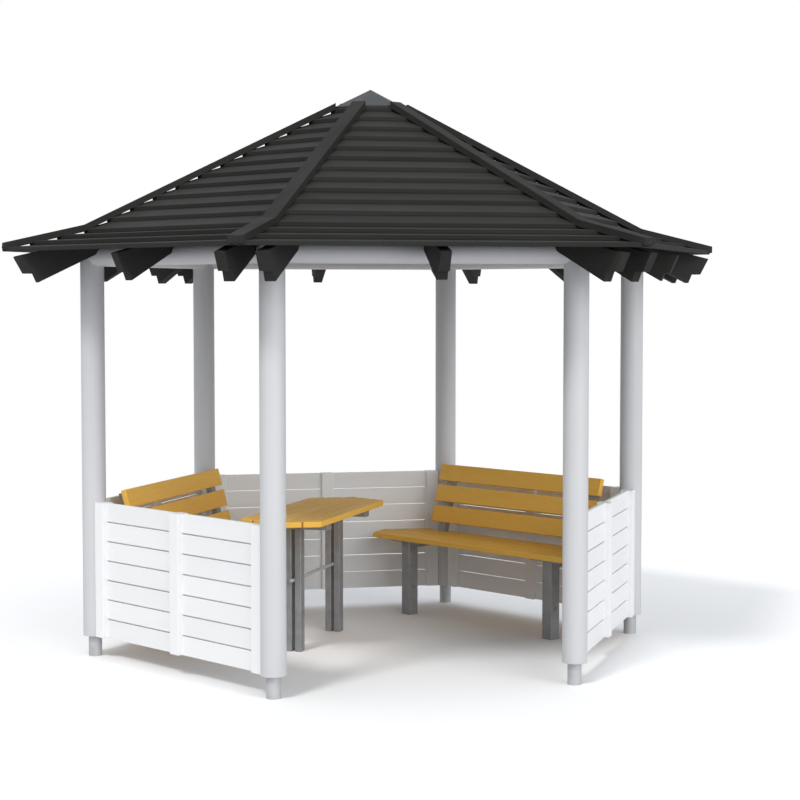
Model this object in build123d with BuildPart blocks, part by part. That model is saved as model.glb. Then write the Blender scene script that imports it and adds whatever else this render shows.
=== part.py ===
"""Hexagonal garden gazebo with a bell-cast boarded roof, low boarded panels, two benches and a table.

Millimetres, +Z up. The origin is on the ground under the apex; the open side faces -Y.
"""

import os
from math import cos, radians, sin, tan

from build123d import *

# Plan: six posts on a circle, six sides between them
post_circle_r = 1500
post_d = 125
post_angles = {
    "left": 180,
    "front_left": 240,
    "front_right": 300,
    "right": 0,
    "back_right": 60,
    "back_left": 120,
}
side_angles = {
    "front": 270,
    "front_right": 330,
    "back_right": 30,
    "back": 90,
    "back_left": 150,
    "front_left": 210,
}
panel_sides = ["front_right", "back_right", "back", "back_left", "front_left"]
half_side_angle = 30
side_apothem = post_circle_r * cos(radians(half_side_angle))
side_length = post_circle_r
wedge_reach = 3 * post_circle_r

# Steel feet under the posts
foot_d = 70
foot_wall = 5
foot_h = 109

# Ring beams, coped to the posts and mitred on each other
beam_d = 104
beam_end_cut = 8
beam_under_z = 2066
beam_z = beam_under_z + beam_d / 2
post_top_z = beam_under_z + beam_d

# Roof line over the high edges of the boards, in apothem distance and height
eave_a = 1700
kink_a = 1335
eave_high_z = 2163
kink_high_z = 2260
main_slope = 0.569
flare_slope = (kink_high_z - eave_high_z) / (eave_a - kink_a)
board_t = 22
board_lap = 20
kink_lap = 6
flare_boards = 3
main_exposure = 104
roof_inner_a = 30

# Rafters: a pair astride every post, one in the middle of every side
rafter_w = 55
rafter_offset = 100
rafter_depth = 84
rafter_drop = board_t * (2 + board_lap / main_exposure)
tail_end_r = (eave_a - rafter_offset * sin(radians(half_side_angle))) / cos(radians(half_side_angle))
tail_step_out = 48
tail_step_in = 98
tail_tip_in = 119
tail_step_z = 2027
mid_set_back = 22
mid_end_a = eave_a - mid_set_back
mid_step_out = 42
mid_step_in = 72
mid_tip_in = 88
mid_depth = 80
mid_inner_a = 330

# Hip battens lie on the board edges
batten_w = 75
batten_t = 32
batten_sink = 8
batten_inner_gap = 1

# Metal apex cap
cap_a = 168
cap_t = 3
cap_r = cap_a / cos(radians(half_side_angle))
batten_inner_r = cap_r + cap_t + batten_inner_gap

# Low panels
panel_bottom_z = foot_h
panel_top_z = 823
upright_w = 72
upright_depth = 70
upright_cope = 55
panel_board_t = 20
panel_board_out = 7
panel_boards = 7
panel_gap = 7

# Furniture: tops with pointed ends
seat_top_z = 474
seat_slat_t = 32
seat_slats = 4
seat_gap = 8
seat_w = 382
seat_front_in = 525
seat_front_n = side_apothem - seat_front_in
seat_back_n = seat_front_n + seat_w
seat_tip_back = 147
seat_tip_n = seat_front_n + seat_tip_back
seat_end_gap = 65
seat_side_l = (side_apothem - seat_tip_n * sin(radians(half_side_angle))) / cos(radians(half_side_angle))
seat_half_l = seat_side_l - seat_end_gap
seat_front_in_l = 63
seat_front_half_l = seat_half_l - seat_front_in_l
seat_back_half_l = seat_half_l - (seat_w - seat_tip_back) * tan(radians(half_side_angle))
bench_leg = 70
bench_leg_set_back = 21
bench_leg_n = seat_front_n + bench_leg_set_back + bench_leg / 2
bench_leg_in = 49
bench_leg_t = side_length / 2 - upright_cope - upright_w - bench_leg_in
arm_h = 40
seat_plate_n_size = bench_leg + 10
seat_plate_t_size = 250
seat_plate_h = 8
back_low_in = 225
back_low_n = side_apothem - back_low_in
back_low_z = 537
back_high_in = 133
back_high_n = side_apothem - back_high_in
back_high_z = 879
back_slats = 3
back_gap = 28
back_slat_t = 30
back_end_gap = 105
back_half_l = side_length / 2 - back_end_gap
back_support_w = 50
back_support_d = 40
back_support_top_z = 850
notch_gap = 1
table_top_z = 733
table_slat_t = 32
table_slats = 5
table_gap = 7.5
table_w = 455
table_half_l = 669
knee_gap = 221.5
table_n = seat_front_n - knee_gap - table_w / 2
table_leg_t = 322
table_leg_n_size = 35
table_leg_t_size = 60
table_leg_gap = 19
table_arm_h = 40
table_arm_l = 400
table_bar_h = 15
table_bar_z = 387
table_bar_half_l = 380


def direction(angle):
    """Unit vector in plan."""
    return Vector(cos(radians(angle)), sin(radians(angle)), 0)


def upright_plane(angle, offset=0):
    """Vertical plane through the axis: x outward, y up, normal clockwise of the angle."""
    out = direction(angle)
    normal = direction(angle - 90)
    return Plane(origin=normal * offset, x_dir=out, z_dir=normal)


def floor_plane(angle, z=0):
    """Horizontal plane: x outward along the angle, y counter-clockwise of it."""
    return Plane(origin=(0, 0, z), x_dir=direction(angle), z_dir=(0, 0, 1))


def high_z(a):
    """Height of the roof line at an apothem distance."""
    if a > kink_a:
        return kink_high_z - flare_slope * (a - kink_a)
    return kink_high_z + main_slope * (kink_a - a)


def board_edges():
    """Apothem distance of the lower edge of every board, from the eave up."""
    step = (eave_a - kink_a) / flare_boards
    edges = [eave_a - step * i for i in range(flare_boards)]
    a = kink_a
    while a > roof_inner_a + main_exposure / 2:
        edges.append(a)
        a -= main_exposure
    return edges


def surface_z(a):
    """Height of the boards' upper face at an apothem distance on the main slope."""
    low = min(edge for edge in board_edges() if edge >= a)
    return high_z(a) - board_t * (low - a) / main_exposure


def roof_section():
    """Outline of the lapped boards of one side: saw teeth above and below."""
    edges = board_edges()
    uppers = edges[1:] + [roof_inner_a]
    top = []
    under = []
    for i, (low, up) in enumerate(zip(edges, uppers)):
        z_low = high_z(low)
        last = i == len(edges) - 1
        reach = main_exposure if last else low - up
        z_up = high_z(low - reach) - board_t
        rise = (z_up - z_low) / reach
        top.append((low, z_low))
        top.append((up, z_low + rise * (low - up)))
        lap = board_lap
        if i == flare_boards - 1:
            lap = kink_lap
        if last:
            lap = 0
        end = up - lap
        under.append((low, z_low - board_t, rise))
        under.append((end, z_low - board_t + rise * (low - end), rise))
    lower = []
    for i in range(0, len(under), 2):
        start = under[i]
        end = under[i + 1]
        if i == 0:
            lower.append((start[0], start[1]))
        else:
            before = under[i - 1][0]
            lower.append((before, start[1] + start[2] * (start[0] - before)))
        lower.append((end[0], end[1]))
    return top + list(reversed(lower))


def rafter_top(a):
    """Height of the rafters' top at an apothem distance."""
    return high_z(a) - rafter_drop


def rafter_under(a, depth):
    """Height of the rafters' underside, which keeps the slope of the main roof."""
    return kink_high_z + main_slope * (kink_a - a) - rafter_drop - depth


def above_rafters():
    """Outline of everything over the rafters' top."""
    far = wedge_reach
    return [
        (0, rafter_top(0)),
        (kink_a, rafter_top(kink_a)),
        (far, rafter_top(far)),
        (far, rafter_top(0) + eave_a),
        (0, rafter_top(0) + eave_a),
    ]


def long_hexagon(n_mid, width, half_l):
    """Plan of a top with 120-degree corners, long way along y."""
    point = width / 2 * tan(radians(half_side_angle))
    return [
        (n_mid - width / 2, half_l - point),
        (n_mid, half_l),
        (n_mid + width / 2, half_l - point),
        (n_mid + width / 2, point - half_l),
        (n_mid, -half_l),
        (n_mid - width / 2, point - half_l),
    ]


def save(part, name):
    part.label = name
    export_step(part, "parts/" + name + ".step")


os.makedirs("parts", exist_ok=True)

# Posts and their feet
post_places = [tuple(direction(angle) * post_circle_r) for angle in post_angles.values()]
for name, angle in post_angles.items():
    centre = direction(angle) * post_circle_r
    with BuildPart() as post:
        with BuildSketch(Plane(origin=(centre.X, centre.Y, foot_h))):
            Circle(post_d / 2)
        extrude(amount=post_top_z - foot_h)
    save(post.part, name + "_post")

with BuildPart() as post_feet:
    with BuildSketch(Plane.XY):
        with PolarLocations(post_circle_r, 6):
            Circle(foot_d / 2)
            Circle(foot_d / 2 - foot_wall, mode=Mode.SUBTRACT)
    extrude(amount=foot_h)
save(post_feet.part, "post_feet")

# Ring beams
for name, angle in side_angles.items():
    across = direction(angle + 90)
    middle = direction(angle) * side_apothem
    with BuildPart() as beam:
        with BuildSketch(Plane(origin=(middle.X, middle.Y, beam_z), x_dir=(0, 0, 1), z_dir=across)):
            Circle(beam_d / 2)
        extrude(amount=side_length / 2 - beam_end_cut, both=True)
        with BuildSketch(floor_plane(angle)):
            with BuildLine():
                Polyline(
                    (0, 0),
                    (wedge_reach, wedge_reach * tan(radians(half_side_angle))),
                    (wedge_reach, -wedge_reach * tan(radians(half_side_angle))),
                    close=True,
                )
            make_face()
        extrude(amount=post_top_z + beam_d, mode=Mode.INTERSECT)
        for end in (-half_side_angle, half_side_angle):
            spot = direction(angle + end) * post_circle_r
            with BuildSketch(Plane(origin=(spot.X, spot.Y, 0))):
                Circle(post_d / 2)
            extrude(amount=post_top_z + beam_d, mode=Mode.SUBTRACT)
    save(beam.part, name + "_ring_beam")


def batten_outline():
    """Hip batten from the cap to the eave corner, bent where the roof flares."""
    c = cos(radians(half_side_angle))
    stations = (batten_inner_r, kink_a / c, eave_a / c)
    low = [(r, high_z(r * c) - batten_sink) for r in stations]
    return low + [(r, z + batten_t) for r, z in reversed(low)]


# Lapped roof boards, mitred on the hips and flattened where the battens sit
for name, angle in side_angles.items():
    with BuildPart() as roof:
        with BuildSketch(upright_plane(angle)):
            with BuildLine():
                Polyline(*roof_section(), close=True)
            make_face()
        extrude(amount=eave_a, both=True)
        with BuildSketch(floor_plane(angle)):
            with BuildLine():
                Polyline(
                    (0, 0),
                    (wedge_reach, wedge_reach * tan(radians(half_side_angle))),
                    (wedge_reach, -wedge_reach * tan(radians(half_side_angle))),
                    close=True,
                )
            make_face()
        extrude(amount=wedge_reach, mode=Mode.INTERSECT)
        for end in (-half_side_angle, half_side_angle):
            with BuildSketch(upright_plane(angle + end)):
                with BuildLine():
                    Polyline(*batten_outline(), close=True)
                make_face()
            extrude(amount=batten_w / 2, both=True, mode=Mode.SUBTRACT)
    save(roof.part, name + "_roof")

# Rafter pairs astride the posts, notched over the beams and mitred under the apex
for name, angle in post_angles.items():
    with BuildPart() as pair:
        for turn in (-1, 1):
            side = angle + turn * half_side_angle
            with BuildPart(mode=Mode.PRIVATE) as rafter:
                with BuildSketch(upright_plane(angle, -turn * rafter_offset)):
                    with BuildLine():
                        tip_r = tail_end_r - tail_tip_in
                        inner_a = rafter_offset * sin(radians(half_side_angle))
                        tip_a = tip_r * cos(radians(half_side_angle)) + inner_a
                        Polyline(
                            (0, rafter_under(inner_a, rafter_depth)),
                            (tip_r, rafter_under(tip_a, rafter_depth)),
                            (tail_end_r - tail_step_in, tail_step_z),
                            (tail_end_r - tail_step_out, tail_step_z),
                            (tail_end_r, rafter_top(eave_a)),
                            (tail_end_r, rafter_top(0)),
                            (0, rafter_top(0)),
                            close=True,
                        )
                    make_face()
                extrude(amount=rafter_w / 2, both=True)
                with BuildSketch(floor_plane(angle)):
                    with BuildLine():
                        Polyline(
                            (0, 0),
                            (wedge_reach, 0),
                            (wedge_reach, turn * wedge_reach * tan(radians(half_side_angle))),
                            close=True,
                        )
                    make_face()
                extrude(amount=wedge_reach, mode=Mode.INTERSECT)
                with BuildSketch(upright_plane(side)):
                    with BuildLine():
                        Polyline(*above_rafters(), close=True)
                    make_face()
                extrude(amount=eave_a, both=True, mode=Mode.SUBTRACT)
                middle = direction(side) * side_apothem
                across = direction(side + 90)
                with BuildSketch(Plane(origin=(middle.X, middle.Y, beam_z), x_dir=(0, 0, 1), z_dir=across)):
                    Circle(beam_d / 2)
                extrude(amount=side_length, both=True, mode=Mode.SUBTRACT)
            add(rafter.part)
    save(pair.part, name + "_rafter_pair")

# One rafter in the middle of every side
with BuildPart() as middle_rafters:
    for angle in side_angles.values():
        with BuildPart(mode=Mode.PRIVATE) as rafter:
            with BuildSketch(upright_plane(angle)):
                with BuildLine():
                    tip_a = mid_end_a - mid_tip_in
                    Polyline(
                        (mid_inner_a, rafter_under(mid_inner_a, mid_depth)),
                        (tip_a, rafter_under(tip_a, mid_depth)),
                        (mid_end_a - mid_step_in, tail_step_z),
                        (mid_end_a - mid_step_out, tail_step_z),
                        (mid_end_a, rafter_top(mid_end_a)),
                        (kink_a, rafter_top(kink_a)),
                        (mid_inner_a, rafter_top(mid_inner_a)),
                        close=True,
                    )
                make_face()
            extrude(amount=rafter_w / 2, both=True)
            middle = direction(angle) * side_apothem
            across = direction(angle + 90)
            with BuildSketch(Plane(origin=(middle.X, middle.Y, beam_z), x_dir=(0, 0, 1), z_dir=across)):
                Circle(beam_d / 2)
            extrude(amount=side_length / 4, both=True, mode=Mode.SUBTRACT)
        add(rafter.part)
save(middle_rafters.part, "middle_rafters")

# Hip battens
with BuildPart() as hip_battens:
    for angle in post_angles.values():
        with BuildSketch(upright_plane(angle)):
            with BuildLine():
                Polyline(*batten_outline(), close=True)
            make_face()
        extrude(amount=batten_w / 2, both=True)
save(hip_battens.part, "hip_battens")

# Apex cap: a folded six-sided sheet with a short lip
edge_z = high_z(cap_a)
cap_lip = edge_z - surface_z(cap_a)
cap_rise = cap_t * (1 + main_slope**2) ** 0.5
cap_out_a = (cap_r + cap_t) * cos(radians(half_side_angle))
with BuildPart() as apex_cap:
    for angle in side_angles.values():
        with BuildPart(mode=Mode.PRIVATE) as fold:
            with BuildSketch(upright_plane(angle)):
                with BuildLine():
                    Polyline(
                        (0, high_z(0)),
                        (cap_a, edge_z),
                        (cap_a, edge_z - cap_lip),
                        (cap_out_a, edge_z - cap_lip),
                        (cap_out_a, high_z(cap_out_a) + cap_rise),
                        (0, high_z(0) + cap_rise),
                        close=True,
                    )
                make_face()
            extrude(amount=cap_r, both=True)
            with BuildSketch(floor_plane(angle)):
                with BuildLine():
                    Polyline(
                        (0, 0),
                        (wedge_reach, wedge_reach * tan(radians(half_side_angle))),
                        (wedge_reach, -wedge_reach * tan(radians(half_side_angle))),
                        close=True,
                    )
                make_face()
            extrude(amount=wedge_reach, mode=Mode.INTERSECT)
        add(fold.part)
save(apex_cap.part, "apex_cap")

# Low panels: three uprights, two bays of boards with open joints
panel_h = panel_top_z - panel_bottom_z
panel_half = side_length / 2 - upright_cope
board_pitch = (panel_h + panel_gap) / panel_boards
for name in panel_sides:
    angle = side_angles[name]
    base = floor_plane(angle, panel_bottom_z)
    with BuildPart() as panel:
        with BuildSketch(base):
            with Locations(
                (side_apothem, 0),
                (side_apothem, panel_half - upright_w / 2),
                (side_apothem, upright_w / 2 - panel_half),
            ):
                Rectangle(upright_depth, upright_w)
        extrude(amount=panel_h)
        for i in range(panel_boards):
            with BuildSketch(floor_plane(angle, panel_bottom_z + i * board_pitch)):
                with Locations((side_apothem + panel_board_out - panel_board_t / 2, 0)):
                    Rectangle(panel_board_t, 2 * panel_half - upright_w)
            extrude(amount=board_pitch - panel_gap)
        for end in (-half_side_angle, half_side_angle):
            spot = direction(angle + end) * post_circle_r
            with BuildSketch(Plane(origin=(spot.X, spot.Y, panel_bottom_z))):
                Circle(post_d / 2)
            extrude(amount=panel_h, mode=Mode.SUBTRACT)
    save(panel.part, name + "_panel")

# Benches against the two back panels
board_face_n = side_apothem + panel_board_out - panel_board_t
seat_slat_w = (seat_w - (seat_slats - 1) * seat_gap) / seat_slats
back_run = back_high_n - back_low_n
back_rise = back_high_z - back_low_z
back_len = (back_run**2 + back_rise**2) ** 0.5
back_up = Vector(back_run / back_len, back_rise / back_len)
back_in = Vector(back_up.Y, -back_up.X)
back_slat_w = (back_len - (back_slats - 1) * back_gap) / back_slats
arm_top_z = seat_top_z - seat_slat_t
low = Vector(back_low_n, back_low_z)
face = low + back_in * back_slat_t
rear = face + back_in * back_support_d
lean = back_up.X / back_up.Y
notch_n = face.X + lean * (arm_top_z - face.Y) - notch_gap

for name in ("back_left", "back_right"):
    angle = side_angles[name]
    with BuildPart() as seat:
        with BuildSketch(floor_plane(angle, arm_top_z)):
            with BuildLine():
                Polyline(
                    (seat_front_n, seat_front_half_l),
                    (seat_tip_n, seat_half_l),
                    (seat_back_n, seat_back_half_l),
                    (seat_back_n, -seat_back_half_l),
                    (seat_tip_n, -seat_half_l),
                    (seat_front_n, -seat_front_half_l),
                    close=True,
                )
            make_face()
            for i in range(1, seat_slats):
                slot_n = seat_front_n + i * (seat_slat_w + seat_gap) - seat_gap / 2
                with Locations((slot_n, 0)):
                    Rectangle(seat_gap, 2 * seat_half_l, mode=Mode.SUBTRACT)
            with Locations((notch_n + seat_w / 2, bench_leg_t), (notch_n + seat_w / 2, -bench_leg_t)):
                Rectangle(seat_w, back_support_w + 2 * notch_gap, mode=Mode.SUBTRACT)
        extrude(amount=seat_slat_t)
    save(seat.part, name + "_bench_seat")

    with BuildPart() as back:
        for i in range(back_slats):
            start = low + back_up * (i * (back_slat_w + back_gap))
            corners = [
                start,
                start + back_up * back_slat_w,
                start + back_up * back_slat_w + back_in * back_slat_t,
                start + back_in * back_slat_t,
            ]
            with BuildSketch(upright_plane(angle)):
                with BuildLine():
                    Polyline(*[(c.X, c.Y) for c in corners], close=True)
                make_face()
            extrude(amount=back_half_l, both=True)
    save(back.part, name + "_bench_back")

    with BuildPart() as frame:
        for side in (-1, 1):
            with BuildSketch(floor_plane(angle)):
                with Locations((bench_leg_n, side * bench_leg_t)):
                    Rectangle(bench_leg, bench_leg)
            extrude(amount=arm_top_z)
            with BuildSketch(floor_plane(angle, arm_top_z - seat_plate_h)):
                with Locations((bench_leg_n, side * bench_leg_t)):
                    Rectangle(seat_plate_n_size, seat_plate_t_size)
            extrude(amount=seat_plate_h)
            arm_start = bench_leg_n - bench_leg / 2
            arm_mid = (arm_start + board_face_n) / 2
            with BuildSketch(floor_plane(angle, arm_top_z - arm_h)):
                with Locations((arm_mid, side * bench_leg_t)):
                    Rectangle(board_face_n - arm_start, back_support_w)
            extrude(amount=arm_h)
            with BuildSketch(upright_plane(angle, -side * bench_leg_t)):
                with BuildLine():
                    z0 = arm_top_z - arm_h
                    z1 = back_support_top_z
                    Polyline(
                        (face.X + lean * (z0 - face.Y), z0),
                        (face.X + lean * (z1 - face.Y), z1),
                        (rear.X + lean * (z1 - rear.Y), z1),
                        (rear.X + lean * (z0 - rear.Y), z0),
                        close=True,
                    )
                make_face()
            extrude(amount=back_support_w / 2, both=True)
    save(frame.part, name + "_bench_frame")

# Table beside the back left bench
table_angle = side_angles["back_left"]
table_slat_w = (table_w - (table_slats - 1) * table_gap) / table_slats
table_low_z = table_top_z - table_slat_t
with BuildPart() as table_top:
    with BuildSketch(floor_plane(table_angle, table_low_z)):
        with BuildLine():
            Polyline(*long_hexagon(table_n, table_w, table_half_l), close=True)
        make_face()
        for i in range(1, table_slats):
            slot_n = table_n - table_w / 2 + i * (table_slat_w + table_gap) - table_gap / 2
            with Locations((slot_n, 0)):
                Rectangle(table_gap, 2 * table_half_l, mode=Mode.SUBTRACT)
    extrude(amount=table_slat_t)
save(table_top.part, "table_top")

with BuildPart() as table_frame:
    leg_shift = (table_leg_gap + table_leg_n_size) / 2
    with BuildSketch(floor_plane(table_angle)):
        with Locations(
            (table_n - leg_shift, table_leg_t),
            (table_n + leg_shift, table_leg_t),
            (table_n - leg_shift, -table_leg_t),
            (table_n + leg_shift, -table_leg_t),
        ):
            Rectangle(table_leg_n_size, table_leg_t_size)
    extrude(amount=table_low_z)
    with BuildSketch(floor_plane(table_angle, table_low_z - table_arm_h)):
        with Locations((table_n, table_leg_t), (table_n, -table_leg_t)):
            Rectangle(table_arm_l, table_leg_t_size)
    extrude(amount=table_arm_h)
    with BuildSketch(floor_plane(table_angle, table_bar_z - table_bar_h / 2)):
        with Locations((table_n, 0)):
            Rectangle(table_leg_gap, 2 * table_bar_half_l)
    extrude(amount=table_bar_h)
save(table_frame.part, "table_frame")
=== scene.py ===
import math
import random

import bmesh
import bpy
from mathutils import Matrix, Vector


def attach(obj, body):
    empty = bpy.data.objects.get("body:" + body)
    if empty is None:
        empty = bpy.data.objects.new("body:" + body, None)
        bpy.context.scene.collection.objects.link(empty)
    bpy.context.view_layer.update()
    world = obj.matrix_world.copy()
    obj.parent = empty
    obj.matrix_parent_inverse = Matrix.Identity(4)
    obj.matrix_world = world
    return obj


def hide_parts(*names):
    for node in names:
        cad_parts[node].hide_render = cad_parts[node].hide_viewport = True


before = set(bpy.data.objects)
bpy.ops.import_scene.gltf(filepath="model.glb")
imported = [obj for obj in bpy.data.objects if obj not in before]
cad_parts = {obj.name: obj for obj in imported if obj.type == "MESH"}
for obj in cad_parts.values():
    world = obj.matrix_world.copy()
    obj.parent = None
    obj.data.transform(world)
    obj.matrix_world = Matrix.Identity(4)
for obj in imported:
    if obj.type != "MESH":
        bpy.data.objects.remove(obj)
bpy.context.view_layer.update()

# Camera first: at the photograph's place and angle
camera_data = bpy.data.cameras.new("camera")
camera_data.lens = 87.18
camera_data.sensor_width = 36
camera = bpy.data.objects.new("camera", camera_data)
camera.location = (-2.1954, -10.3323, 1.9389)
camera.rotation_euler = (math.radians(86.7622), 0, math.radians(-12.8609))
bpy.context.scene.collection.objects.link(camera)
bpy.context.scene.camera = camera
bpy.context.scene.view_settings.view_transform = "Standard"

# Sizes in metres, as in the part's source
POSTS = {
    "left": 180,
    "front_left": 240,
    "front_right": 300,
    "right": 0,
    "back_right": 60,
    "back_left": 120,
}
SIDES = {
    "front": 270,
    "front_right": 330,
    "back_right": 30,
    "back": 90,
    "back_left": 150,
    "front_left": 210,
}
PANEL_SIDES = ("front_right", "back_right", "back", "back_left", "front_left")
BENCH_SIDES = ("back_left", "back_right")
COS30 = math.cos(math.radians(30))
SIN30 = 0.5
TAN30 = math.tan(math.radians(30))
POST_CIRCLE = 1.5
SIDE_APOTHEM = POST_CIRCLE * COS30
POST_R = 0.0625
FOOT_H = 0.109
FOOT_R = 0.035
FOOT_WALL = 0.005
BEAM_R = 0.052
BEAM_UNDER = 2.066
POST_TOP = BEAM_UNDER + 2 * BEAM_R

EAVE_A = 1.7
KINK_A = 1.335
EAVE_Z = 2.163
KINK_Z = 2.26
MAIN_SLOPE = 0.569
FLARE_SLOPE = (KINK_Z - EAVE_Z) / (EAVE_A - KINK_A)
BOARD_T = 0.022
BOARD_LAP = 0.02
EXPOSURE = 0.104
ROOF_INNER = 0.03
RAFTER_DROP = BOARD_T * (2 + BOARD_LAP / EXPOSURE)
CAP_A = 0.168
CAP_T = 0.003
CAP_R = CAP_A / COS30
BATTEN_W = 0.075
BATTEN_T = 0.037
BATTEN_SINK = 0.014
BATTEN_START_GAP = 0.001
BATTEN_BUTT_GAP = 0.0004

RAFTER_W = 0.055
RAFTER_EDGE = 0.003
RAFTER_OFFSET = 0.1
RAFTER_DEPTH = 0.084
RAFTER_INNER = 0.02
TAIL_TIP_IN = 0.119
TAIL_STEP_IN = 0.098
TAIL_STEP_OUT = 0.048
TAIL_STEP_Z = 2.027
MID_DEPTH = 0.08
MID_INNER_A = 0.33
MID_END_A = 1.678
MID_TIP_IN = 0.088
MID_STEP_IN = 0.072
MID_STEP_OUT = 0.042


# Node groups shared by the finishes

def node(tree, kind, settings=None, values=None):
    made = tree.nodes.new("ShaderNode" + kind)
    for name, value in (settings or {}).items():
        setattr(made, name, value)
    for name, value in (values or {}).items():
        made.inputs[name].default_value = value
    return made


def new_group(name, inputs, outputs):
    tree = bpy.data.node_groups.new(name, "ShaderNodeTree")
    for label, kind, value in inputs:
        socket = tree.interface.new_socket(name=label, in_out="INPUT", socket_type="NodeSocket" + kind)
        if value is not None:
            socket.default_value = value
    for label, kind in outputs:
        tree.interface.new_socket(name=label, in_out="OUTPUT", socket_type="NodeSocket" + kind)
    return tree, tree.nodes.new("NodeGroupInput"), tree.nodes.new("NodeGroupOutput")


def timber_group():
    """Growth rings, long fibres and slow mottling of sawn timber, running along x."""
    tree, inside, out = new_group(
        "timber_grain",
        [("Vector", "Vector", None), ("Ring Scale", "Float", 26.0), ("Fibre Scale", "Float", 220.0)],
        [("Rings", "Float"), ("Fibre", "Float"), ("Mottle", "Float"), ("Pores", "Float")],
    )
    link = tree.links.new
    long = node(tree, "Mapping", values={"Scale": (0.07, 1.0, 1.0)})
    link(inside.outputs["Vector"], long.inputs["Vector"])
    bend = node(tree, "TexNoise", values={"Scale": 7.0, "Detail": 2.0})
    link(long.outputs["Vector"], bend.inputs["Vector"])
    centre = node(tree, "VectorMath", {"operation": "SUBTRACT"})
    centre.inputs[1].default_value = (0.5, 0.5, 0.5)
    link(bend.outputs["Color"], centre.inputs[0])
    drift = node(tree, "VectorMath", {"operation": "MULTIPLY_ADD"})
    drift.inputs[1].default_value = (0.0, 0.05, 0.05)
    link(centre.outputs["Vector"], drift.inputs[0])
    link(long.outputs["Vector"], drift.inputs[2])
    rings = node(
        tree,
        "TexWave",
        {"wave_type": "RINGS", "rings_direction": "X", "wave_profile": "SAW"},
        {"Distortion": 1.4, "Detail": 2.0, "Detail Scale": 2.0},
    )
    link(drift.outputs["Vector"], rings.inputs["Vector"])
    link(inside.outputs["Ring Scale"], rings.inputs["Scale"])
    fine = node(tree, "Mapping", values={"Scale": (0.03, 1.0, 1.0)})
    link(inside.outputs["Vector"], fine.inputs["Vector"])
    fibre = node(tree, "TexNoise", values={"Detail": 4.0, "Roughness": 0.65})
    link(fine.outputs["Vector"], fibre.inputs["Vector"])
    link(inside.outputs["Fibre Scale"], fibre.inputs["Scale"])
    pore_map = node(tree, "Mapping", values={"Scale": (0.012, 1.0, 1.0)})
    link(inside.outputs["Vector"], pore_map.inputs["Vector"])
    pores = node(tree, "TexNoise", values={"Scale": 520.0, "Detail": 1.0})
    link(pore_map.outputs["Vector"], pores.inputs["Vector"])
    deep = node(tree, "MapRange", values={"From Min": 0.62, "From Max": 0.72})
    link(pores.outputs["Fac"], deep.inputs["Value"])
    mottle = node(tree, "TexNoise", values={"Scale": 9.0, "Detail": 2.0})
    link(long.outputs["Vector"], mottle.inputs["Vector"])
    link(rings.outputs["Fac"], out.inputs["Rings"])
    link(fibre.outputs["Fac"], out.inputs["Fibre"])
    link(mottle.outputs["Fac"], out.inputs["Mottle"])
    link(deep.outputs["Result"], out.inputs["Pores"])
    return tree


def weather_group():
    """Soft patches of dust and rain wear, in the object's own space."""
    tree, inside, out = new_group(
        "weather",
        [("Patch Scale", "Float", 2.5), ("Speck Scale", "Float", 60.0)],
        [("Patches", "Float"), ("Specks", "Float")],
    )
    link = tree.links.new
    place = node(tree, "TexCoord")
    patches = node(tree, "TexNoise", values={"Detail": 4.0, "Roughness": 0.6})
    link(place.outputs["Object"], patches.inputs["Vector"])
    link(inside.outputs["Patch Scale"], patches.inputs["Scale"])
    specks = node(tree, "TexNoise", values={"Detail": 3.0, "Roughness": 0.7})
    link(place.outputs["Object"], specks.inputs["Vector"])
    link(inside.outputs["Speck Scale"], specks.inputs["Scale"])
    link(patches.outputs["Fac"], out.inputs["Patches"])
    link(specks.outputs["Fac"], out.inputs["Specks"])
    return tree


TIMBER = timber_group()
WEATHER = weather_group()


def placed(tree, group, values=None):
    made = tree.nodes.new("ShaderNodeGroup")
    made.node_tree = group
    for name, value in (values or {}).items():
        made.inputs[name].default_value = value
    return made


def blank_material(name):
    material = bpy.data.materials.new(name)
    material.use_nodes = True
    return material, material.node_tree, material.node_tree.nodes["Principled BSDF"]


def colour_mix(tree, amount, first, second, blend="MIX"):
    """Mixes two colours; amount, first and second are sockets or values."""
    mix = node(tree, "Mix", {"data_type": "RGBA", "blend_type": blend})
    for socket, value in ((mix.inputs[0], amount), (mix.inputs[6], first), (mix.inputs[7], second)):
        if isinstance(value, bpy.types.NodeSocket):
            tree.links.new(value, socket)
        else:
            socket.default_value = value
    return mix.outputs[2]


def ranged(tree, value, low, high, to_low, to_high):
    made = node(
        tree,
        "MapRange",
        values={"From Min": low, "From Max": high, "To Min": to_low, "To Max": to_high},
    )
    tree.links.new(value, made.inputs["Value"])
    return made.outputs["Result"]


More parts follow.
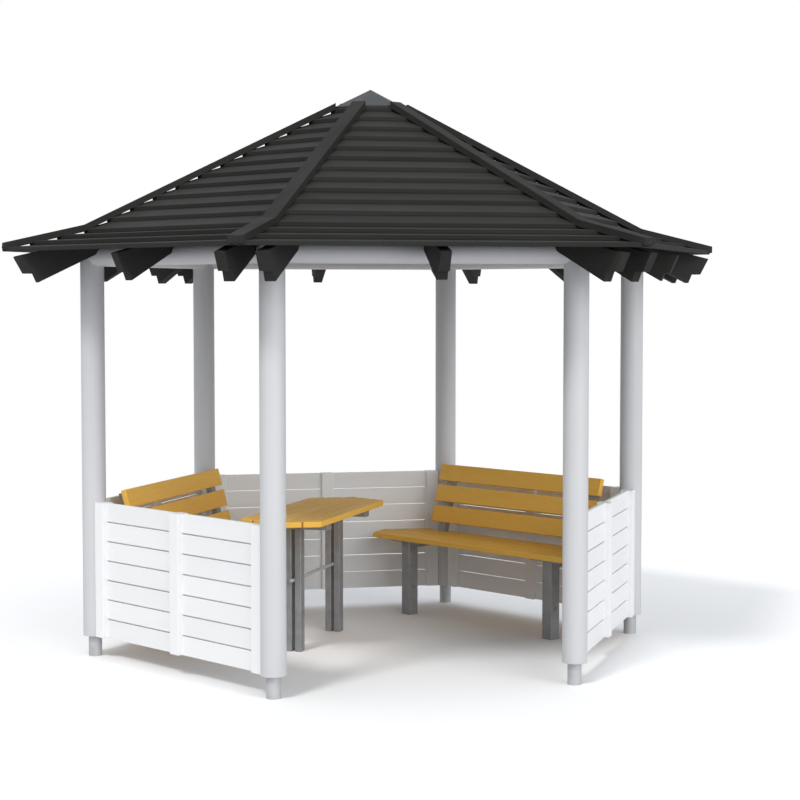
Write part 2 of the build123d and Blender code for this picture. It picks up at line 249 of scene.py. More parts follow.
def wood_material(
    name, dark, light, pale, rings, fibre, mottle, rough, relief, ring_scale, pores=0.0, gloss=0.35
):
    """Sawn timber: colour from rings, fibres and mottling, with the board's own tone."""
    material, tree, shader = blank_material(name)
    link = tree.links.new
    place = node(tree, "Attribute", {"attribute_name": "grain"})
    tone = node(tree, "Attribute", {"attribute_name": "shade"})
    grain = placed(tree, TIMBER, {"Ring Scale": ring_scale})
    link(place.outputs["Vector"], grain.inputs["Vector"])
    weather = placed(tree, WEATHER)
    colour = colour_mix(tree, ranged(tree, tone.outputs["Fac"], 0.2, 1.0, 0.0, 1.0), dark, light)
    colour = colour_mix(tree, ranged(tree, grain.outputs["Mottle"], 0.3, 0.7, 0.0, mottle), colour, pale)
    colour = colour_mix(tree, ranged(tree, grain.outputs["Rings"], 0.25, 1.0, 0.0, rings), colour, dark)
    colour = colour_mix(tree, ranged(tree, grain.outputs["Fibre"], 0.35, 0.75, 0.0, fibre), colour, dark)
    if pores:
        colour = colour_mix(
            tree,
            ranged(tree, grain.outputs["Pores"], 0.0, 1.0, 0.0, pores),
            colour,
            tuple(0.35 * c for c in dark[:3]) + (1.0,),
        )
    link(colour, shader.inputs["Base Color"])
    worn = ranged(tree, weather.outputs["Patches"], 0.3, 0.7, rough[0], rough[1])
    link(worn, shader.inputs["Roughness"])
    height = node(tree, "Math", {"operation": "MULTIPLY_ADD"})
    link(grain.outputs["Fibre"], height.inputs[0])
    height.inputs[1].default_value = 0.6
    link(ranged(tree, grain.outputs["Rings"], 0.0, 1.0, 0.0, 0.4), height.inputs[2])
    bump = node(tree, "Bump", values={"Strength": relief, "Distance": 0.0012})
    link(height.outputs["Value"], bump.inputs["Height"])
    link(bump.outputs["Normal"], shader.inputs["Normal"])
    shader.inputs["Specular IOR Level"].default_value = gloss
    return material


def metal_material(name, base, second, metallic, rough, scale, relief=0.1):
    """Sheet or tube steel with a soft spangle and fine scratches."""
    material, tree, shader = blank_material(name)
    link = tree.links.new
    weather = placed(tree, WEATHER, {"Patch Scale": scale, "Speck Scale": 240.0})
    patchy = ranged(tree, weather.outputs["Patches"], 0.35, 0.65, 0.0, 1.0)
    colour = colour_mix(tree, patchy, base, second)
    link(colour, shader.inputs["Base Color"])
    worn = ranged(tree, weather.outputs["Specks"], 0.3, 0.7, rough[0], rough[1])
    link(worn, shader.inputs["Roughness"])
    bump = node(tree, "Bump", values={"Strength": relief, "Distance": 0.0004})
    link(weather.outputs["Specks"], bump.inputs["Height"])
    link(bump.outputs["Normal"], shader.inputs["Normal"])
    shader.inputs["Metallic"].default_value = metallic
    return material


STAINED_BOARD = wood_material(
    "black_stained_board",
    (0.017, 0.0165, 0.0155, 1),
    (0.028, 0.0272, 0.0258, 1),
    (0.034, 0.033, 0.031, 1),
    0.35, 0.5, 0.6, (0.7, 0.85), 0.35, 22.0, gloss=0.2,
)
STAINED_RAFTER = wood_material(
    "black_stained_rafter",
    (0.018, 0.0175, 0.0165, 1),
    (0.03, 0.029, 0.0275, 1),
    (0.036, 0.035, 0.033, 1),
    0.35, 0.5, 0.5, (0.65, 0.8), 0.35, 22.0, gloss=0.2,
)
POST_PAINT = wood_material(
    "grey_painted_post",
    (0.54, 0.547, 0.565, 1),
    (0.61, 0.617, 0.635, 1),
    (0.63, 0.637, 0.655, 1),
    0.18, 0.25, 0.5, (0.42, 0.52), 0.16, 14.0,
)
PANEL_PAINT = wood_material(
    "white_painted_board",
    (0.8, 0.81, 0.82, 1),
    (0.86, 0.865, 0.875, 1),
    (0.88, 0.885, 0.89, 1),
    0.15, 0.25, 0.5, (0.42, 0.52), 0.2, 18.0,
)
HONEY_WOOD = wood_material(
    "honey_oiled_slat",
    (0.76, 0.4, 0.055, 1),
    (0.94, 0.55, 0.1, 1),
    (0.97, 0.63, 0.15, 1),
    0.35, 0.3, 0.4, (0.46, 0.6), 0.3, 26.0, pores=0.22, gloss=0.2,
)
FRAME_STEEL = metal_material(
    "galvanised_tube", (0.3, 0.305, 0.31, 1), (0.36, 0.365, 0.37, 1), 0.55, (0.42, 0.58), 16.0
)
FOOT_STEEL = metal_material(
    "galvanised_foot", (0.44, 0.445, 0.46, 1), (0.5, 0.505, 0.52, 1), 0.2, (0.42, 0.58), 16.0
)
CAP_SHEET = metal_material(
    "blue_grey_cap_sheet", (0.04, 0.043, 0.049, 1), (0.053, 0.056, 0.063, 1), 0.15, (0.55, 0.66), 8.0
)
SCREW_STEEL = metal_material(
    "screw_head", (0.05, 0.05, 0.05, 1), (0.08, 0.08, 0.08, 1), 0.8, (0.35, 0.5), 30.0
)


# Making pieces

def side_place(angle):
    """Local x outward, y counter-clockwise along the side, z up."""
    return Matrix.Rotation(math.radians(angle), 4, "Z")


ALONG_Y = Matrix(((0, 1, 0), (-1, 0, 0), (0, 0, 1)))
ALONG_Z = Matrix(((0, 0, 1), (0, 1, 0), (-1, 0, 0)))
ALONG_X = Matrix.Identity(3)


def start_piece():
    bm = bmesh.new()
    bm.verts.layers.float_vector.new("grain")
    bm.verts.layers.float.new("shade")
    return bm


def unsettled(bm):
    shade = bm.verts.layers.float["shade"]
    return [v for v in bm.verts if v[shade] == 0.0]


def settle(bm, place, along, seed):
    """Gives the newest member its own stretch of timber and moves it into place."""
    grain = bm.verts.layers.float_vector["grain"]
    shade = bm.verts.layers.float["shade"]
    draw = random.Random(seed)
    fresh = unsettled(bm)
    middle = sum((v.co for v in fresh), Vector()) / len(fresh)
    shift = Vector((draw.uniform(0, 40), draw.uniform(-0.05, 0.05), draw.uniform(0.04, 0.12)))
    tone = draw.uniform(0.25, 1.0)
    for v in fresh:
        v[grain] = along @ (v.co - middle) + shift
        v[shade] = tone
        v.co = place @ v.co


def edges_of(verts):
    inside = set(verts)
    return list({e for v in verts for e in v.link_edges if e.other_vert(v) in inside})


def soften(bm, edges, size, steps=2):
    bmesh.ops.bevel(
        bm,
        geom=edges,
        offset=size,
        segments=steps,
        profile=0.5,
        affect="EDGES",
        material=-1,
        clamp_overlap=True,
    )


def trim(bm, point, outward):
    """Cuts the newest member off beyond a plane and closes it."""
    verts = unsettled(bm)
    faces = list({f for v in verts for f in v.link_faces})
    geom = verts + edges_of(verts) + faces
    cut = bmesh.ops.bisect_plane(bm, geom=geom, plane_co=point, plane_no=outward, clear_outer=True)
    rim = [e for e in cut["geom_cut"] if isinstance(e, bmesh.types.BMEdge)]
    if rim:
        bmesh.ops.edgeloop_fill(bm, edges=rim)


def box_member(bm, low, high, edge, place, along, seed, planes=(), lean=None, steps=2):
    """A sawn member between two corners, leaned, trimmed and with its edges eased."""
    made = bmesh.ops.create_cube(bm, size=1.0)
    size = Vector(high) - Vector(low)
    bmesh.ops.scale(bm, vec=size, verts=made["verts"])
    bmesh.ops.translate(bm, vec=(Vector(high) + Vector(low)) / 2, verts=made["verts"])
    if lean is not None:
        bmesh.ops.transform(bm, matrix=lean, verts=made["verts"])
    for point, outward in planes:
        trim(bm, point, outward)
    soften(bm, edges_of(unsettled(bm)), edge, steps)
    settle(bm, place, along, seed)


def profile_member(bm, outline, thickness, edge, place, along, seed, planes=()):
    """A member sawn from a plank: an outline in x and z, as thick along y as stated."""
    corners = [bm.verts.new((x, -thickness / 2, z)) for x, z in outline]
    face = bm.faces.new(corners)
    grown = bmesh.ops.extrude_face_region(bm, geom=[face])
    moved = [v for v in grown["geom"] if isinstance(v, bmesh.types.BMVert)]
    bmesh.ops.translate(bm, vec=(0, thickness, 0), verts=moved)
    for point, outward in planes:
        trim(bm, point, outward)
    soften(bm, edges_of(unsettled(bm)), edge)
    settle(bm, place, along, seed)


def round_member(bm, radius, length, edge, place, along, seed, sides=64):
    """A turned pole along local z from 0 to its length, with eased rims."""
    made = bmesh.ops.create_cone(
        bm, cap_ends=True, cap_tris=False, segments=sides, radius1=radius, radius2=radius, depth=length
    )
    bmesh.ops.translate(bm, vec=(0, 0, length / 2), verts=made["verts"])
    rims = [e for e in edges_of(made["verts"]) if abs(e.verts[0].co.z - e.verts[1].co.z) < 1e-6]
    soften(bm, rims, edge, 3)
    settle(bm, place, along, seed)


def screw_head(bm, point, facing, radius=0.0055, height=0.0022):
    """A pan head with a sunk drive."""
    made = bmesh.ops.create_cone(
        bm,
        cap_ends=True,
        cap_tris=False,
        segments=14,
        radius1=radius,
        radius2=radius * 0.78,
        depth=height,
    )
    top = [f for f in {f for v in made["verts"] for f in v.link_faces} if f.normal.z > 0.9]
    bmesh.ops.inset_region(bm, faces=top, thickness=radius * 0.35, depth=0.0)
    sunk = [f for f in top if f.is_valid]
    bmesh.ops.inset_region(bm, faces=sunk, thickness=radius * 0.05, depth=-height * 0.5)
    turn = Vector(facing).to_track_quat("Z", "Y").to_matrix().to_4x4()
    settle(bm, Matrix.Translation(point) @ turn, ALONG_X, 7)


def finish_piece(bm, name, material, stands_for=(), smooth=None):
    bmesh.ops.recalc_face_normals(bm, faces=bm.faces)
    mesh = bpy.data.meshes.new(name)
    bm.to_mesh(mesh)
    bm.free()
    if smooth is not None:
        mesh.shade_smooth()
        mesh.set_sharp_from_angle(angle=math.radians(smooth))
    piece = bpy.data.objects.new(name, mesh)
    bpy.context.scene.collection.objects.link(piece)
    mesh.materials.append(material)
    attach(piece, "root")
    if stands_for:
        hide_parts(*stands_for)
    return piece


# Roof line

def high_z(a):
    if a > KINK_A:
        return KINK_Z - FLARE_SLOPE * (a - KINK_A)
    return KINK_Z + MAIN_SLOPE * (KINK_A - a)


def rafter_top(a):
    return high_z(a) - RAFTER_DROP


def rafter_under(a, depth):
    return KINK_Z + MAIN_SLOPE * (KINK_A - a) - RAFTER_DROP - depth


def board_edges():
    edges = [EAVE_A - (EAVE_A - KINK_A) / 3 * i for i in range(3)]
    a = KINK_A
    while a > ROOF_INNER + EXPOSURE / 2:
        edges.append(a)
        a -= EXPOSURE
    return edges


def hip_planes():
    """Mitre planes of one side, in a frame whose x runs out from the apex."""
    return [((0, 0, 0), (-SIN30, COS30, 0)), ((0, 0, 0), (-SIN30, -COS30, 0))]


def make_roof(name, angle, seed):
    """One side's lapped boards, each mitred on the hips."""
    bm = start_piece()
    edges = board_edges()
    uppers = edges[1:] + [ROOF_INNER]
    for i, (low, up) in enumerate(zip(edges, uppers)):
        last = i == len(edges) - 1
        reach = EXPOSURE if last else low - up
        rise = (high_z(low - reach) - BOARD_T - high_z(low)) / reach
        lap = 0.0 if last else (0.006 if i == 2 else BOARD_LAP)
        lean = Matrix.Identity(4)
        lean[2][0] = -rise
        lean[2][3] = high_z(low) + rise * low
        half = low * TAN30 + 0.05
        box_member(
            bm,
            (up - lap, -half, -BOARD_T),
            (low, half, 0.0),
            0.0025,
            side_place(angle),
            ALONG_Y,
            seed + i,
            hip_planes(),
            lean,
        )
    return finish_piece(bm, name + "_roof_boards", STAINED_BOARD, [name + "_roof"])


for number, (name, angle) in enumerate(SIDES.items()):
    make_roof(name, angle, 100 * number + 1)


# Hip battens in two lengths, butted where the roof flares
def batten_under(r):
    return high_z(r * COS30) - BATTEN_SINK


bm = start_piece()
batten_inner = CAP_R + CAP_T + BATTEN_START_GAP
kink_r = KINK_A / COS30
eave_r = EAVE_A / COS30
for number, angle in enumerate(POSTS.values()):
    for start, end in ((batten_inner, kink_r - BATTEN_BUTT_GAP), (kink_r + BATTEN_BUTT_GAP, eave_r)):
        slope = (batten_under(end - 1e-6) - batten_under(start + 1e-6)) / (end - start)
        lean = Matrix.Identity(4)
        lean[2][0] = slope
        lean[2][3] = batten_under(start + 1e-6) - slope * start
        box_member(
            bm,
            (start, -BATTEN_W / 2, 0.0),
            (end, BATTEN_W / 2, BATTEN_T),
            0.0025,
            side_place(angle),
            ALONG_X,
            900 + number * 2 + int(start > batten_inner),
            (),
            lean,
        )
finish_piece(bm, "hip_batten_lengths", STAINED_BOARD, ["hip_battens"])

# A screw in the end of every hip batten
bm = start_piece()
for angle in POSTS.values():
    out = side_place(angle)
    spot = out @ Vector((eave_r + 0.001, 0, batten_under(eave_r) + 0.4 * BATTEN_T))
    screw_head(bm, spot, out @ Vector((1, 0, 0)), 0.006, 0.003)
finish_piece(bm, "hip_batten_screws", SCREW_STEEL, smooth=30)

# Rafter pairs astride the posts
tail_end = (EAVE_A - RAFTER_OFFSET * SIN30) / COS30
tip_r = tail_end - TAIL_TIP_IN
for number, (name, angle) in enumerate(POSTS.items()):
    bm = start_piece()
    for turn in (-1, 1):
        shift_a = RAFTER_OFFSET * SIN30
        outline = [
            (RAFTER_INNER, rafter_under(RAFTER_INNER * COS30 + shift_a, RAFTER_DEPTH)),
            (tip_r, rafter_under(tip_r * COS30 + shift_a, RAFTER_DEPTH)),
            (tail_end - TAIL_STEP_IN, TAIL_STEP_Z),
            (tail_end - TAIL_STEP_OUT, TAIL_STEP_Z),
            (tail_end, rafter_top(EAVE_A)),
            ((KINK_A - shift_a) / COS30, rafter_top(KINK_A)),
            (RAFTER_INNER, rafter_top(RAFTER_INNER * COS30 + shift_a)),
        ]
        place = side_place(angle) @ Matrix.Translation((0, turn * RAFTER_OFFSET, 0))
        mitre = [((0, -turn * RAFTER_OFFSET, 0), (-SIN30, turn * COS30, 0))]
        seed = 2000 + number * 2 + turn
        profile_member(bm, outline, RAFTER_W, RAFTER_EDGE, place, ALONG_X, seed, mitre)
    finish_piece(bm, name + "_rafters", STAINED_RAFTER, [name + "_rafter_pair"])

# A rafter in the middle of every side
bm = start_piece()
for number, angle in enumerate(SIDES.values()):
    outline = [
        (MID_INNER_A, rafter_under(MID_INNER_A, MID_DEPTH)),
        (MID_END_A - MID_TIP_IN, rafter_under(MID_END_A - MID_TIP_IN, MID_DEPTH)),
        (MID_END_A - MID_STEP_IN, TAIL_STEP_Z),
        (MID_END_A - MID_STEP_OUT, TAIL_STEP_Z),
        (MID_END_A, rafter_top(MID_END_A)),
        (KINK_A, rafter_top(KINK_A)),
        (MID_INNER_A, rafter_top(MID_INNER_A)),
    ]
    profile_member(bm, outline, RAFTER_W, RAFTER_EDGE, side_place(angle), ALONG_X, 2100 + number)
finish_piece(bm, "side_rafters", STAINED_RAFTER, ["middle_rafters"])

# Posts, feet and ring beams
for number, (name, angle) in enumerate(POSTS.items()):
    bm = start_piece()
    place = side_place(angle) @ Matrix.Translation((POST_CIRCLE, 0, FOOT_H))
    round_member(bm, POST_R, POST_TOP - FOOT_H, 0.004, place, ALONG_Z, 3000 + number, 80)
    finish_piece(bm, name + "_round_post", POST_PAINT, [name + "_post"], smooth=40)

for number, (name, angle) in enumerate(SIDES.items()):
    bm = start_piece()
    half = POST_CIRCLE / 2 - 0.02
    lay = Matrix.Rotation(math.radians(-90), 4, "X")
    place = side_place(angle) @ Matrix.Translation((SIDE_APOTHEM, -half, BEAM_UNDER + BEAM_R)) @ lay
    round_member(bm, BEAM_R, 2 * half, 0.004, place, ALONG_Z, 3100 + number, 80)
    finish_piece(bm, name + "_round_beam", POST_PAINT, [name + "_ring_beam"], smooth=40)

bm = start_piece()
for number, angle in enumerate(POSTS.values()):
    place = side_place(angle) @ Matrix.Translation((POST_CIRCLE, 0, 0))
    ring = bmesh.ops.create_circle(bm, cap_ends=False, segments=56, radius=FOOT_R)
    grown = bmesh.ops.extrude_edge_only(bm, edges=edges_of(ring["verts"]))
    risen = [v for v in grown["geom"] if isinstance(v, bmesh.types.BMVert)]
    bmesh.ops.translate(bm, vec=(0, 0, FOOT_H), verts=risen)
    wall = list({f for v in unsettled(bm) for f in v.link_faces})
    bmesh.ops.recalc_face_normals(bm, faces=wall)
    bmesh.ops.solidify(bm, geom=wall, thickness=FOOT_WALL)
    settle(bm, place, ALONG_Z, 3200 + number)
finish_piece(bm, "foot_tubes", FOOT_STEEL, ["post_feet"], smooth=40)

# Low panels
PANEL_TOP = 0.823
PANEL_BOARDS = 7
PANEL_JOINT = 0.007
PANEL_SLIT = 0.0026
BOARD_IN = -0.013
BOARD_OUT = 0.007
REBATE = -0.009
BOARD_TONGUE = 0.004
PANEL_H = PANEL_TOP - FOOT_H
PANEL_HALF = POST_CIRCLE / 2 - 0.055
UPRIGHT_W = 0.072
UPRIGHT_D = 0.07
PITCH = (PANEL_H + PANEL_JOINT) / PANEL_BOARDS
REBATED_BOARD = (
    (BOARD_IN, 0.0),
    (BOARD_OUT, 0.0),
    (BOARD_OUT, PITCH - PANEL_JOINT),
    (REBATE, PITCH - PANEL_JOINT),
    (REBATE, PITCH - PANEL_SLIT),
    (BOARD_IN, PITCH - PANEL_SLIT),
)
for number, name in enumerate(PANEL_SIDES):
    place = side_place(SIDES[name])
    bm = start_piece()
    for j, t in enumerate((UPRIGHT_W / 2 - PANEL_HALF, 0.0, PANEL_HALF - UPRIGHT_W / 2)):
        box_member(
            bm,
            (SIDE_APOTHEM - UPRIGHT_D / 2, t - UPRIGHT_W / 2, FOOT_H),
            (SIDE_APOTHEM + UPRIGHT_D / 2, t + UPRIGHT_W / 2, PANEL_TOP),
            0.003,
            place,
            ALONG_Z,
            4000 + number * 20 + j,
        )
    for i in range(PANEL_BOARDS):
        low_z = FOOT_H + i * PITCH
        for j, (t0, t1) in enumerate(
            ((UPRIGHT_W - PANEL_HALF, -UPRIGHT_W / 2), (UPRIGHT_W / 2, PANEL_HALF - UPRIGHT_W))
        ):
            board = list(REBATED_BOARD)
            if i == PANEL_BOARDS - 1:
                plain = (board[0], board[1], board[2], board[5])
                board = [(x, min(z, PITCH - PANEL_JOINT)) for x, z in plain]
            profile_member(
                bm,
                board,
                t1 - t0 + 2 * BOARD_TONGUE,
                0.0012,
                place @ Matrix.Translation((SIDE_APOTHEM, (t0 + t1) / 2, low_z)),
                ALONG_Y,
                4500 + number * 20 + i * 2 + j,
            )
    finish_piece(bm, name + "_panel_boards", PANEL_PAINT, [name + "_panel"])


# Benches
def point_cuts(tip_n, half_l, front):
    """Planes of both pointed ends; front is the run and set-back of the front cut."""
    cuts = []
    for end in (-1, 1):
        cuts.append(((tip_n, end * half_l, 0), (-front[1], end * front[0], 0)))
        cuts.append(((tip_n, end * half_l, 0), (SIN30, end * COS30, 0)))
    return cuts


SEAT_TOP = 0.474
SLAT_T = 0.032
ARM_TOP = SEAT_TOP - SLAT_T
SEAT_W = 0.382
SEAT_FRONT = SIDE_APOTHEM - 0.525
SEAT_TIP = SEAT_FRONT + 0.147
SEAT_HALF = (SIDE_APOTHEM - SEAT_TIP * SIN30) / COS30 - 0.065
SEAT_GAP = 0.008
slat_w = (SEAT_W - 3 * SEAT_GAP) / 4
BACK_LOW = Vector((SIDE_APOTHEM - 0.225, 0, 0.537))
BACK_HIGH = Vector((SIDE_APOTHEM - 0.133, 0, 0.879))
BACK_HALF = 0.645
BACK_T = 0.03
BACK_GAP = 0.028
back_len = (BACK_HIGH - BACK_LOW).length
back_up = (BACK_HIGH - BACK_LOW).normalized()
back_in = Vector((back_up.z, 0, -back_up.x))
back_w = (back_len - 2 * BACK_GAP) / 3
lean_frame = Matrix((back_in, Vector((0, 1, 0)), back_up)).transposed().to_4x4()
LEG_N = SEAT_FRONT + 0.021
LEG = 0.07
LEG_T = 0.574
PLATE_OVER = 0.005
PLATE_HALF_T = 0.125
PLATE_H = 0.008
ARM_H = 0.04
ARM_HALF_W = 0.025
SUPPORT_D = 0.04
SUPPORT_TOP = 0.85
BOLT_Z = 0.17
BOLT_DISCS = ((0.013, 0.002, 0.001), (0.0085, 0.005, 0.0045))
board_face = SIDE_APOTHEM + BOARD_IN

for number, name in enumerate(BENCH_SIDES):
    place = side_place(SIDES[name])
    bm = start_piece()
    for i in range(4):
        n0 = SEAT_FRONT + i * (slat_w + SEAT_GAP)
        box_member(
            bm,
            (n0, -SEAT_HALF, ARM_TOP),
            (n0 + slat_w, SEAT_HALF, SEAT_TOP),
            0.006,
            place,
            ALONG_Y,
            5000 + number * 20 + i,
            point_cuts(SEAT_TIP, SEAT_HALF, (0.147, 0.063)),
            steps=3,
        )
    finish_piece(bm, name + "_seat_slats", HONEY_WOOD, [name + "_bench_seat"])

    bm = start_piece()
    for i in range(3):
        foot = BACK_LOW + back_up * (i * (back_w + BACK_GAP))
        box_member(
            bm,
            (0, -BACK_HALF, 0),
            (BACK_T, BACK_HALF, back_w),
            0.003,
            place @ Matrix.Translation(foot) @ lean_frame,
            ALONG_Y,
            5100 + number * 20 + i,
        )
    finish_piece(bm, name + "_back_slats", HONEY_WOOD, [name + "_bench_back"])

    bm = start_piece()
    face = BACK_LOW + back_in * BACK_T
    slope = back_up.x / back_up.z
    for turn in (-1, 1):
        t = turn * LEG_T
        box_member(
            bm,
            (LEG_N, t - LEG / 2, 0),
            (LEG_N + LEG, t + LEG / 2, ARM_TOP),
            0.005,
            place,
            ALONG_Z,
            5200,
            steps=3,
        )
        box_member(
            bm,
            (LEG_N - PLATE_OVER, t - PLATE_HALF_T, ARM_TOP - PLATE_H),
            (LEG_N + LEG + PLATE_OVER, t + PLATE_HALF_T, ARM_TOP),
            0.0015,
            place,
            ALONG_Y,
            5203,
        )
        box_member(
            bm,
            (LEG_N, t - ARM_HALF_W, ARM_TOP - ARM_H),
            (board_face, t + ARM_HALF_W, ARM_TOP),
            0.004,
            place,
            ALONG_X,
            5201,
            steps=3,
        )
        lean = Matrix.Identity(4)
        lean[0][2] = slope
        lean[0][3] = face.x - slope * face.z
        depth = SUPPORT_D / back_in.x
        box_member(
            bm,
            (0, t - ARM_HALF_W, ARM_TOP - ARM_H),
            (depth, t + ARM_HALF_W, SUPPORT_TOP),
            0.004,
            place,
            ALONG_Z,
            5202,
            lean=lean,
            steps=3,
        )
    finish_piece(bm, name + "_bench_tubes", FRAME_STEEL, [name + "_bench_frame"])

# A bolt through every bench leg
bm = start_piece()
for name in BENCH_SIDES:
    place = side_place(SIDES[name])
    for turn in (-1, 1):
        for end in (-1, 1):
            spot = Vector((LEG_N + LEG / 2, turn * LEG_T + end * LEG / 2, BOLT_Z))
            for radius, height, out in BOLT_DISCS:
                made = bmesh.ops.create_cone(
                    bm,
                    cap_ends=True,
                    cap_tris=False,
                    segments=28,
                    radius1=radius,
                    radius2=radius,
                    depth=height,
                )
                soften(bm, edges_of(made["verts"]), 0.0005)
                turned = Vector((0, end, 0)).to_track_quat("Z", "Y").to_matrix().to_4x4()
                stand = Matrix.Translation(spot + Vector((0, end * out, 0)))
                settle(bm, place @ stand @ turned, ALONG_X, 9)
finish_piece(bm, "bench_leg_bolts", FRAME_STEEL, smooth=30)

# Table
TABLE_W = 0.455
TABLE_N = SEAT_FRONT - 0.2215 - TABLE_W / 2
TABLE_HALF = 0.669
TABLE_TOP = 0.733
TABLE_GAP = 0.0075
TABLE_LEG_T = 0.322
TABLE_LEG_SHIFT = 0.027
TABLE_LEG_HALF_N = 0.0175
TABLE_LEG_HALF_T = 0.03
TABLE_ARM_HALF = 0.2
TIE_BAR_Z = 0.387
TIE_BAR_H = 0.015
TIE_BAR_W = 0.019
TIE_BAR_HALF = 0.38
table_low = TABLE_TOP - SLAT_T
table_slat = (TABLE_W - 4 * TABLE_GAP) / 5
place = side_place(SIDES["back_left"])
bm = start_piece()
for i in range(5):
    n0 = TABLE_N - TABLE_W / 2 + i * (table_slat + TABLE_GAP)
    box_member(
        bm,
        (n0, -TABLE_HALF, table_low),
        (n0 + table_slat, TABLE_HALF, TABLE_TOP),
        0.006,
        place,
        ALONG_Y,
        6000 + i,
        point_cuts(TABLE_N, TABLE_HALF, (COS30, SIN30)),
        steps=3,
    )
finish_piece(bm, "table_slats", HONEY_WOOD, ["table_top"])

bm = start_piece()
for turn in (-1, 1):
    t = turn * TABLE_LEG_T
    for shift in (-TABLE_LEG_SHIFT, TABLE_LEG_SHIFT):
        n = TABLE_N + shift
        box_member(
            bm,
            (n - TABLE_LEG_HALF_N, t - TABLE_LEG_HALF_T, 0),
            (n + TABLE_LEG_HALF_N, t + TABLE_LEG_HALF_T, table_low),
            0.004,
            place,
            ALONG_Z,
            6100,
            steps=3,
        )
    box_member(
        bm,
        (TABLE_N - TABLE_ARM_HALF, t - TABLE_LEG_HALF_T, table_low - ARM_H),
        (TABLE_N + TABLE_ARM_HALF, t + TABLE_LEG_HALF_T, table_low),
        0.004,
        place,
        ALONG_X,
        6101,
        steps=3,
    )
finish_piece(bm, "table_tubes", FRAME_STEEL, ["table_frame"])

bm = start_piece()
box_member(
    bm,
    (TABLE_N - TIE_BAR_W / 2, -TIE_BAR_HALF, TIE_BAR_Z - TIE_BAR_H / 2),
    (TABLE_N + TIE_BAR_W / 2, TIE_BAR_HALF, TIE_BAR_Z + TIE_BAR_H / 2),
    0.002,
    place,
    ALONG_Y,
    6102,
)
finish_piece(bm, "table_tie_bar", FOOT_STEEL)

# Apex cap: a folded six-sided sheet
cap_edge = high_z(CAP_A)
low_edge = min(edge for edge in board_edges() if edge >= CAP_A)
cap_lip = BOARD_T * (low_edge - CAP_A) / EXPOSURE
bm = start_piece()
made = bmesh.ops.create_cone(
    bm,
    cap_ends=False,
    cap_tris=False,
    segments=6,
    radius1=CAP_R,
    radius2=0.0,
    depth=MAIN_SLOPE * CAP_A,
)
corner_turn = Matrix.Rotation(math.radians(30), 3, "Z")
bmesh.ops.rotate(bm, cent=(0, 0, 0), matrix=corner_turn, verts=made["verts"])
bmesh.ops.translate(bm, vec=(0, 0, cap_edge + MAIN_SLOPE * CAP_A / 2), verts=made["verts"])
bmesh.ops.remove_doubles(bm, verts=bm.verts, dist=1e-5)
rim = [e for e in bm.edges if len(e.link_faces) == 1]
grown = bmesh.ops.extrude_edge_only(bm, edges=rim)
hem = [v for v in grown["geom"] if isinstance(v, bmesh.types.BMVert)]
bmesh.ops.translate(bm, vec=(0, 0, -cap_lip), verts=hem)
bmesh.ops.recalc_face_normals(bm, faces=bm.faces)
bmesh.ops.solidify(bm, geom=list(bm.faces), thickness=-CAP_T)
soften(bm, [e for e in bm.edges if e.calc_face_angle(0) > 0.3], 0.001, 2)
settle(bm, Matrix.Identity(4), ALONG_X, 6200)
finish_piece(bm, "cap_folds", CAP_SHEET, ["apex_cap"])

bm = start_piece()
for angle in POSTS.values():
    out = side_place(angle)
    r = CAP_R - 0.03
    facing = out @ Vector((MAIN_SLOPE * COS30, 0, 1))
    spot = out @ Vector((r, 0, high_z(r * COS30) + CAP_T + 0.001))
    screw_head(bm, spot, facing, 0.006, 0.003)
finish_piece(bm, "cap_screws", SCREW_STEEL, smooth=30)

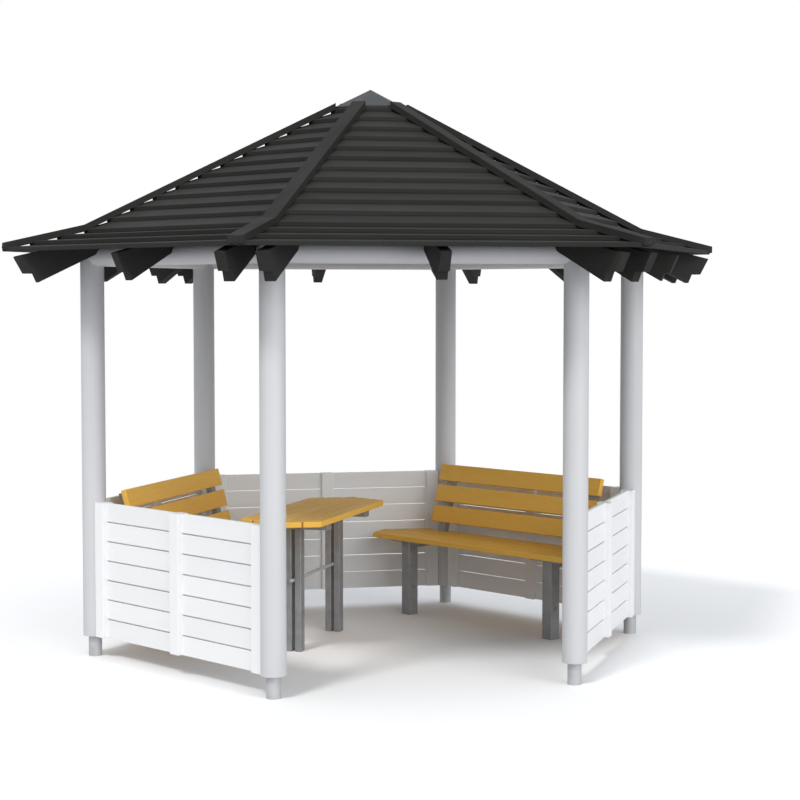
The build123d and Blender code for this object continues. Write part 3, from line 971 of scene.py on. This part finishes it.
# Floor, light and background; the floor fades out between two distances from the middle
FLOOR_HALF = 60
FLOOR_FADE_START = 3.2
FLOOR_FADE_END = 6.5
SKY_LOW = 0.58
SKY_HIGH = 0.97
floor_mesh = bpy.data.meshes.new("floor")
bm = bmesh.new()
bmesh.ops.create_grid(bm, x_segments=1, y_segments=1, size=FLOOR_HALF)
bm.to_mesh(floor_mesh)
bm.free()
floor = bpy.data.objects.new("floor", floor_mesh)
bpy.context.scene.collection.objects.link(floor)
floor_paint, tree, shader = blank_material("pale_floor")
shader.inputs["Roughness"].default_value = 0.9
shader.inputs["Specular IOR Level"].default_value = 0.1
ways = node(tree, "LightPath")
paint = colour_mix(tree, ways.outputs["Is Camera Ray"], (0.72, 0.72, 0.73, 1), (0.93, 0.935, 0.945, 1))
tree.links.new(paint, shader.inputs["Base Color"])
spot = node(tree, "TexCoord")
reach = node(tree, "VectorMath", {"operation": "LENGTH"})
tree.links.new(spot.outputs["Object"], reach.inputs[0])
fade = ranged(tree, reach.outputs["Value"], FLOOR_FADE_START, FLOOR_FADE_END, 1.0, 0.0)
tree.links.new(fade, shader.inputs["Alpha"])
floor_mesh.materials.append(floor_paint)

world = bpy.data.worlds.new("studio")
bpy.context.scene.world = world
world.use_nodes = True
tree = world.node_tree
background = tree.nodes["Background"]
ways = node(tree, "LightPath")
seen = node(tree, "Math", {"operation": "MAXIMUM"})
tree.links.new(ways.outputs["Is Camera Ray"], seen.inputs[0])
tree.links.new(ways.outputs["Is Transmission Ray"], seen.inputs[1])
sky = node(tree, "TexCoord")
heights = node(tree, "SeparateXYZ")
tree.links.new(sky.outputs["Generated"], heights.inputs["Vector"])
dome = ranged(tree, heights.outputs["Z"], 0.0, 1.0, SKY_LOW, SKY_HIGH)
level = node(tree, "Mix", {"data_type": "FLOAT"})
tree.links.new(seen.outputs["Value"], level.inputs[0])
tree.links.new(dome, level.inputs[2])
level.inputs[3].default_value = 1.0
tree.links.new(level.outputs[0], background.inputs["Strength"])
tint = colour_mix(tree, seen.outputs["Value"], (0.945, 0.97, 1.0, 1), (1.0, 1.0, 1.0, 1))
tree.links.new(tint, background.inputs["Color"])


def studio_sun(name, energy, spread, colour, travel):
    data = bpy.data.lights.new(name, "SUN")
    data.energy = energy
    data.angle = math.radians(spread)
    data.color = colour
    lamp = bpy.data.objects.new(name, data)
    lamp.rotation_euler = Vector(travel).to_track_quat("-Z", "Y").to_euler()
    bpy.context.scene.collection.objects.link(lamp)


studio_sun("key", 1.3, 12, (1.0, 0.985, 0.96), (1.218, 1.3, -2.163))
studio_sun("fill", 1.35, 50, (1.0, 0.995, 0.98), (-0.42, 1.0, -0.38))
